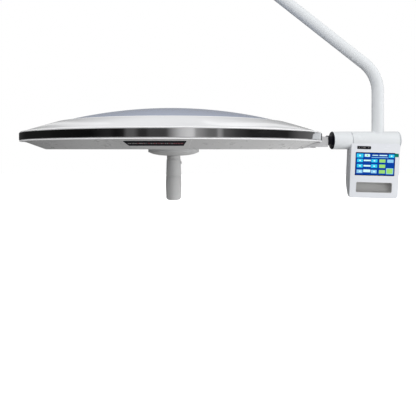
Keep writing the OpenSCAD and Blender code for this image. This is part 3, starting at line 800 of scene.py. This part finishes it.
def optics():
    """The clear front, its gasket, and the faceted reflector behind it."""
    lens = section(FLANGE_R + 0.6 * MM, LENS_R, LENS_LOW, LENS_HIGH, (0.5, 0.5, 0.5, 0.5), 3)
    make("front_lens_clear", lathe(lens, 192, along=BASE), LENS, "head", ["front_lens"])
    gasket = section(LENS_R - 4.7 * MM, LENS_R - 0.2 * MM, 1.7 * MM, 2.9 * MM,
                     (0.5, 0.3, 0.3, 0.5))
    make("lens_gasket_bead", lathe(gasket, 192, along=BASE), SILICONE, "head", ["lens_gasket"])
    reflector()


def reflector():
    """A bowl of small slightly bulging mirror facets, in rings round the lamp column."""
    top = high("reflector").z - 2 * MM
    curve = 806 * MM
    inner, outer = 50 * MM, FACE_R - 12 * MM
    rings, facets = 13, 60
    bulge = 0.7 * MM
    shares = (0, 1 / 3, 2 / 3, 1)

    def bowl(radius):
        return top - curve + math.sqrt(curve ** 2 - radius ** 2)

    def corner(ring, facet):
        radius = inner + (outer - inner) * ring / rings
        angle = TAU * facet / facets
        return Vector((radius * math.cos(angle), radius * math.sin(angle), bowl(radius)))

    mesh = bmesh.new()
    for ring in range(rings):
        for facet in range(facets):
            first = facet + 0.5 * (ring % 2)
            near, far, far_on, near_on = (corner(ring + i, first + k)
                                          for i, k in ((0, 0), (1, 0), (1, 1), (0, 1)))
            rows = []
            for u in shares:
                start, end = near.lerp(far, u), near_on.lerp(far_on, u)
                swell = bulge * 16 * u * (1 - u)
                rows.append([start.lerp(end, v) - Vector((0, 0, swell * v * (1 - v)))
                             for v in shares])
            loft(rows, close=False, into=mesh)
    brim = BASE + 9.6 * MM
    edge = ((outer, bowl(outer)), (outer + 0.5 * MM, brim), (outer + 15 * MM, brim))
    loft([circle(radius, level, 120) for radius, level in edge], into=mesh)
    piece = make("reflector_facets", mesh, MIRROR, "head", ["reflector"], sharp=12)
    finished(piece, bevel=0, shell=0.8 * MM)


def centre():
    """The grey flange in the middle of the lens, an open cone."""
    rim, edge = FLANGE_R / MM, FLANGE_R / MM - 3
    corners = [(edge, 7.4, 0.3), (rim, 7.4, 0.3), (rim, -6.6, 2.5), (50, -11.6, 20),
               (36, -14.2, 20), (22, -15.4, 6), (12.4, -15.4, 0.5), (12.4, -12.4, 0),
               (22, -12.4, 0), (36, -11.2, 0), (49, -8.8, 0), (edge, -5.6, 0)]
    make("flange_cone", lathe(in_mm(corners), 160, along=BASE), HANDLE_GREY, "head",
         ["centre_flange"])


# ---- the handle ----

def handle():
    """The lower grip of the turning handle. Its upper grip keeps the CAD's shape."""
    seam, floor_h = -65.2 * MM, -96 * MM
    bore = 13.05 * MM
    outline = rounded([(0, HANDLE_TIP, 0), (HANDLE_R - 1.4 * MM, HANDLE_TIP, 6 * MM),
                       (HANDLE_R, -84 * MM, 25 * MM), (18.7 * MM, seam, 0.8 * MM),
                       (bore, seam, 0), (bore, floor_h, 0), (0, floor_h, 0)], 7)
    make("grip_lower_cap", lathe(outline, 96, along=BASE), HANDLE_GREY, "handle", ["grip_lower"])


# ---- the yoke ----

def yoke_points():
    """The tube's centreline from the joint housing to the swivel collar, with its directions."""
    turn = math.pi / 2 - ARM_SLOPE
    leg = BEND_R * math.tan(turn / 2)
    first = CORNER_Z - leg
    second = CORNER_Z + YOKE_X * math.tan(ARM_SLOPE) + leg
    up = Vector((0, 0, 1))
    steps = 18
    angles = [turn * i / steps for i in range(steps + 1)]
    bends = [(a, YOKE_X - BEND_R + BEND_R * math.cos(a), first + BEND_R * math.sin(a))
             for a in angles]
    bends += [(a, BEND_R - BEND_R * math.cos(a), second - BEND_R * math.sin(a))
              for a in reversed(angles)]
    points = [(Vector((YOKE_X, 0, AXIS_Z + 12 * MM)), up)]
    points += [(Vector((x, 0, z)), Vector((-math.sin(a), 0, math.cos(a)))) for a, x, z in bends]
    return points + [(Vector((0, 0, -101 * MM)), up)]


def yoke():
    """The bent tube and the swivel collar at its top."""
    side = Vector((0, 1, 0))
    rings = []
    for place, way in yoke_points():
        out = way.cross(side)
        rings.append([place + point.x * side + point.y * out for point in circle(TUBE_R, 0, 56)])
    make("yoke_tube_bent", capped(rings), WHITE_PAINT, "yoke", ["yoke_tube"],
         sharp=50)
    corners = [(14.02, -116, 0.6), (18.6, -116, 1.5), (27, -100, 7), (29, -94, 7),
               (29, -11.8, 1.2), (27.5, -10.3, 0.5), (20, -10.3, 0.3), (20, -88, 0),
               (14.02, -88, 0)]
    make("collar_turned", lathe(in_mm(corners, 6), 128), WHITE_PAINT, "yoke", ["swivel_collar"])


def tilt_joint():
    """Housing, its end cap, the bearing sleeve and the black cover, turned about the tilt axis."""
    start, end = low("joint_housing").x, high("joint_housing").x
    outer, bore = HOUSING_R, HOUSING_R - 5 * MM
    spigot = outer - 2.5 * MM
    step = end - 1.2 * MM
    barrel = rounded([(bore, start, 0), (outer, start, 1.1 * MM), (outer, step, 0.5 * MM),
                      (spigot, step, 0.2 * MM), (spigot, end, 0), (bore, end, 0)], 4)
    make("housing_barrel", lathe(barrel, 128, "X"), WHITE_PAINT, "yoke", ["joint_housing"])
    bulge = 4 * MM
    curve = (outer ** 2 + bulge ** 2) / (2 * bulge)
    top = end + 2 * MM + bulge
    dome = [(outer - 1.2 * MM) * (1 - i / 8) for i in range(9)]
    cap = [(0, end + 0.2 * MM), (outer - 0.3 * MM, end + 0.2 * MM), (outer, end + 0.5 * MM),
           (outer, end + 1.4 * MM), (outer - 0.4 * MM, end + 2.0 * MM)]
    cap += [(r, top - curve + math.sqrt(curve ** 2 - r ** 2)) for r in dome]
    make("housing_end_dome", lathe(cap, 128, "X"), WHITE_PAINT, "yoke", ["housing_end_cap"])
    left = low("bearing_sleeve").x
    seam = start - 1.3 * MM
    nose = start + 6 * MM
    sleeve = rounded([(bore, left, 0), (outer, left, 0.5 * MM), (outer, seam, 1.1 * MM),
                      (spigot, seam, 0.3 * MM), (spigot, nose, 0), (bore, nose, 0)], 4)
    make("sleeve_barrel", lathe(sleeve, 128, "X"), WHITE_PAINT, "yoke", ["bearing_sleeve"])
    neck = low("shaft_cover").x
    face = left - 2.6 * MM
    bore, hub = 8.4 * MM, 12 * MM
    cover = rounded([(bore, neck, 0), (hub, neck, 0.6 * MM), (hub, face, 1.5 * MM),
                     (outer - 1.4 * MM, face + 0.7 * MM, 1 * MM), (outer, face + 2 * MM, 0.8 * MM),
                     (outer, face + 2.6 * MM, 0), (bore, face + 2.6 * MM, 0)], 4)
    make("shaft_cover_disc", lathe(cover, 96, "X"), BLACK_GLOSS, "yoke", ["shaft_cover"])


# ---- the control box ----

def rect_ring(width, height, radius, depth, level, across=0.0, steps=6):
    """A round-cornered rectangle across the box's own frame, at a depth in it."""
    w, h = width / 2, height / 2
    corners = [(w, h, radius), (-w, h, radius), (-w, -h, radius), (w, -h, radius)]
    return [Vector((across + x, depth, level + z)) for x, z in rounded(corners, steps)]


def tile(width, height, radius, back, front, across, level, edge, into=None):
    """A small plate on the box's face, with a softened front edge."""
    soft = max(radius - edge, 0.05 * MM)
    shapes = ((0, radius, back), (0, radius, front + edge), (edge, soft, front))
    return capped([rect_ring(width - 2 * inset, height - 2 * inset, turn, depth, level, across, 4)
                   for inset, turn, depth in shapes], into)


def on_box(name, mesh, material, stands_for=()):
    """A piece made in the box's own frame."""
    bmesh.ops.transform(mesh, matrix=BOX_FRAME, verts=mesh.verts)
    return make(name, mesh, material, "yoke", stands_for)


def outer_ring(depth, inset, foot=BOX_LOW):
    """The box's outline at a depth, moved in by an inset."""
    top, bottom = BOX_TOP - inset, foot + inset
    return rect_ring(BOX_W - 2 * inset, top - bottom, 7 * MM - inset * 0.6, depth,
                     (top + bottom) / 2)


def housing_space():
    """The space that the joint housing takes out of the box's shells, past both their sides."""
    radius = HOUSING_R - 0.6 * MM
    left, right = 400 * MM, 560 * MM
    return lathe([(0, left), (radius, left), (radius, right), (0, right)], 96, "X")


def front_shell():
    """The box's front with rounded edges, and openings for its screen and its grip pocket."""
    edge = 1.3 * MM
    rings = [outer_ring(BOX_SPLIT - 0.15 * MM, 0.25 * MM), outer_ring(BOX_SPLIT - 0.5 * MM, 0),
             outer_ring(BOX_FRONT + edge, 0)]
    for i in range(1, 6):
        a = math.pi / 2 * i / 5
        rings.append(outer_ring(BOX_FRONT + edge * (1 - math.sin(a)), edge * (1 - math.cos(a))))
    rings.append(outer_ring(BOX_FRONT, edge + 0.8 * MM))
    mesh, made = loft(rings)
    openings = (rect_ring(SCREEN_W + 1.4 * MM, SCREEN_H + 1.4 * MM, 1.2 * MM, BOX_FRONT, SCREEN_Z),
                rect_ring(POCKET_W + 2.4 * MM, POCKET_H + 2.4 * MM, 3 * MM, BOX_FRONT, POCKET_Z))
    loops = [made[-1]] + [[mesh.verts.new(p) for p in ring] for ring in openings]
    sides = [mesh.edges.get(pair) or mesh.edges.new(pair)
             for loop in loops for pair in zip(loop, loop[1:] + loop[:1])]
    bmesh.ops.triangle_fill(mesh, edges=sides, use_beauty=True)
    front = on_box("box_front_shell", mesh, BOX_WHITE, ["box_front"])
    finished(front, 0.5 * MM, SHELL_T, 3, 60)
    cut(front, housing_space())


def rear_shell():
    """The box's back with a rounded edge. Its lower side curves up towards the back."""
    edge = 3 * MM
    turn = BOX_BACK - edge
    foot, sweep = -88 * MM, 17.9 * MM
    curve = ((BOX_LOW - foot) ** 2 + sweep ** 2) / (2 * sweep)
    depths = [BOX_SPLIT + 0.15 * MM + (turn - BOX_SPLIT) * i / 14 for i in range(14)]
    depths += [turn + edge * math.sin(math.pi / 2 * i / 6) for i in range(7)]
    rings = []
    for i, depth in enumerate(depths):
        rise = depth - BOX_BACK + curve
        level = foot - math.sqrt(max(curve ** 2 - rise ** 2, 0))
        past = max(0.0, (depth - turn) / edge)
        inset = edge * (1 - math.sqrt(max(1 - past ** 2, 0)))
        rings.append(outer_ring(depth, inset if i else 0.25 * MM, level - inset))
    mesh, made = loft(rings)
    mesh.faces.new(made[-1])
    # Its material is the box's white darkened as painted shade.
    rear = on_box("box_rear_shell", mesh, BOX_REAR_PAINTED_SHADE, ["box_back"])
    finished(rear, 0.3 * MM, SHELL_T, 2, 60)
    cut(rear, housing_space())


def box_face():
    """Pocket liner, label and film tab on the box's front."""
    face = BOX_FRONT
    deep = face + POCKET_D
    # How much wider than the pocket each ring is, its corner radius and its depth
    liner = ((2.2, 2.9, deep), (2.2, 2.9, face + 0.1 * MM), (1.1, 2.4, face),
             (0, 2, face + 0.4 * MM), (0, 2, deep - 2.6 * MM), (-1.0, 1.6, deep - 1.5 * MM),
             (-3.4, 0.8, deep - 1.2 * MM))
    rings = [rect_ring(POCKET_W + wider * MM, POCKET_H + wider * MM, radius * MM, depth, POCKET_Z)
             for wider, radius, depth in liner]
    on_box("grip_pocket_liner", capped(rings), LINER_GREY, ["grip_liner"])
    label = tile(33 * MM, 7.3 * MM, 0.8 * MM, face + 0.3 * MM, face - 0.7 * MM, -28.5 * MM,
                 LABEL_Z, 0.25 * MM)
    on_box("label_black", label, BLACK_GLOSS, ["label_plate"])
    dashes = bmesh.new()
    for across, width in ((-40.5, 3.0), (-34.5, 2.0), (-28, 6.5), (-18, 3.0)):
        tile(width * MM, 0.9 * MM, 0.3 * MM, face - 0.5 * MM, face - 0.82 * MM, across * MM,
             LABEL_Z, 0.08 * MM, into=dashes)
    on_box("label_dashes", dashes, DASH_WHITE)
    tab_h = 8.3 * MM
    tab_z = SCREEN_Z + SCREEN_H / 2 - 9 * MM + tab_h / 2
    tab = tile(10 * MM, tab_h, 0.8 * MM, face - 0.4 * MM, face - 0.7 * MM,
               SCREEN_W / 2 + 3.5 * MM, tab_z, 0.08 * MM)
    on_box("film_tab_green", tab, FILM_GREEN, ["film_tab"])


def screen():
    """The touch glass with a generic page of keys and bars, which have no lettering."""
    face = BOX_FRONT
    glass = tile(SCREEN_W + 0.8 * MM, SCREEN_H + 0.8 * MM, 1 * MM, face + 1.3 * MM, face, 0,
                 SCREEN_Z, 0.3 * MM)
    on_box("touch_glass_dark", glass, SCREEN_EDGE, ["touch_glass"])
    page = tile(SCREEN_W - 1.6 * MM, SCREEN_H - 2.4 * MM, 0.6 * MM, face + 0.2 * MM,
                face - 0.04 * MM, 0, SCREEN_Z, 0.04 * MM)
    on_box("screen_page", page, SCREEN_BLUE)
    # Each key's left, right, top and bottom are shares of the screen
    keys, tops = 0.12 * MM, 0.18 * MM
    key_tiles("cyan", KEY_CYAN, keys, [
        (0.02, 0.19, 0.05, 0.22), (0.84, 0.98, 0.06, 0.2), (0.035, 0.185, 0.28, 0.42),
        (0.40, 0.555, 0.28, 0.42), (0.037, 0.183, 0.51, 0.66), (0.40, 0.555, 0.51, 0.66)])
    key_tiles("pale", KEY_PALE, keys, [
        (0.805, 0.965, 0.28, 0.42), (0.035, 0.185, 0.755, 0.905), (0.40, 0.545, 0.755, 0.905),
        (0.785, 0.97, 0.665, 0.93), (0.40, 0.83, 0.19, 0.215)])
    key_tiles("white", KEY_WHITE, keys, [
        (0.225, 0.36, 0.06, 0.18), (0.205, 0.385, 0.31, 0.375), (0.205, 0.385, 0.545, 0.615),
        (0.205, 0.385, 0.745, 0.865), (0.42, 0.57, 0.09, 0.125), (0.60, 0.80, 0.085, 0.13)])
    key_tiles("green", KEY_GREEN, tops, [
        (0.605, 0.76, 0.28, 0.42), (0.605, 0.76, 0.51, 0.66), (0.605, 0.76, 0.755, 0.905),
        (0.80, 0.955, 0.69, 0.905), (0.275, 0.31, 0.09, 0.15)])
    marks = [(0.085, 0.125, 0.10, 0.165), (0.89, 0.93, 0.10, 0.16)]
    marks += [(left, left + 0.045, top, top + 0.055) for left in (0.09, 0.455)
              for top in (0.325, 0.56)]
    marks += [(left, left + 0.05, 0.80, 0.86) for left in (0.09, 0.455)]
    key_tiles("marks", KEY_WHITE, tops, marks)


def key_tiles(name, material, raised, places):
    """Keys of one colour as thin tiles on the screen."""
    mesh = bmesh.new()
    for left, right, top, bottom in places:
        width, height = (right - left) * SCREEN_W, (bottom - top) * SCREEN_H
        across = ((left + right) / 2 - 0.5) * SCREEN_W
        level = SCREEN_Z + (0.5 - (top + bottom) / 2) * SCREEN_H
        tile(width, height, min(0.9 * MM, height * 0.3), BOX_FRONT, BOX_FRONT - raised, across,
             level, 0.05 * MM, into=mesh)
    on_box("screen_" + name, mesh, material)


# ---- the CAD nodes that stay ----

KEPT = {
    STEEL: ["spindle", "swivel_stop_pin", "retaining_ring", "stop_screw", "brake_screws",
            "bracket_screws", "guide_rods", "spindle_clip", "box_screws"],
    SHAFT_STEEL: ["tilt_shaft", "spring_washers", "shaft_nut", "tilt_stop_pin"],
    SCREW_GREY: ["bezel_screws"],
    BRONZE: ["swivel_bushes", "tilt_bushes"],
    ALUMINIUM: ["box_saddle", "head_frame", "rim_core", "lens_ring", "centre_plate", "led_column"],
    SILVER_CAST: ["rim_bracket"],
    ANODISED: ["heat_sink"],
    CABLE_WHITE: ["yoke_cable", "head_cable"],
    DISPLAY_BACK: ["display_panel"],
    BOARD: ["control_board", "driver_board", "led_boards"],
    LED_DOME: ["leds"],
    HANDLE_GREY: ["focus_spindle", "grip_upper", "release_catch"],
}
SOFT_EDGES = {"rim_bracket": 1.0, "release_catch": 0.5, "grip_upper": 0.4, "focus_spindle": 0.3,
              "bezel_screws": 0.2, "brake_screws": 0.4, "stop_screw": 0.3, "bracket_screws": 0.3}


def kept_nodes():
    """Materials for the CAD nodes that keep their shape, with softened edges where they show."""
    for material, names in KEPT.items():
        for name in names:
            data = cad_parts[name].data
            data.materials.clear()
            data.materials.append(material)
    for name, width in SOFT_EDGES.items():
        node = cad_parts[name]
        weld = node.modifiers.new("weld", "WELD")
        weld.merge_threshold = 1e-5
        finished(node, width * MM, segments=3)


studio()
head_shells()
rim()
bezel()
optics()
centre()
handle()
yoke()
tilt_joint()
front_shell()
rear_shell()
box_face()
screen()
kept_nodes()
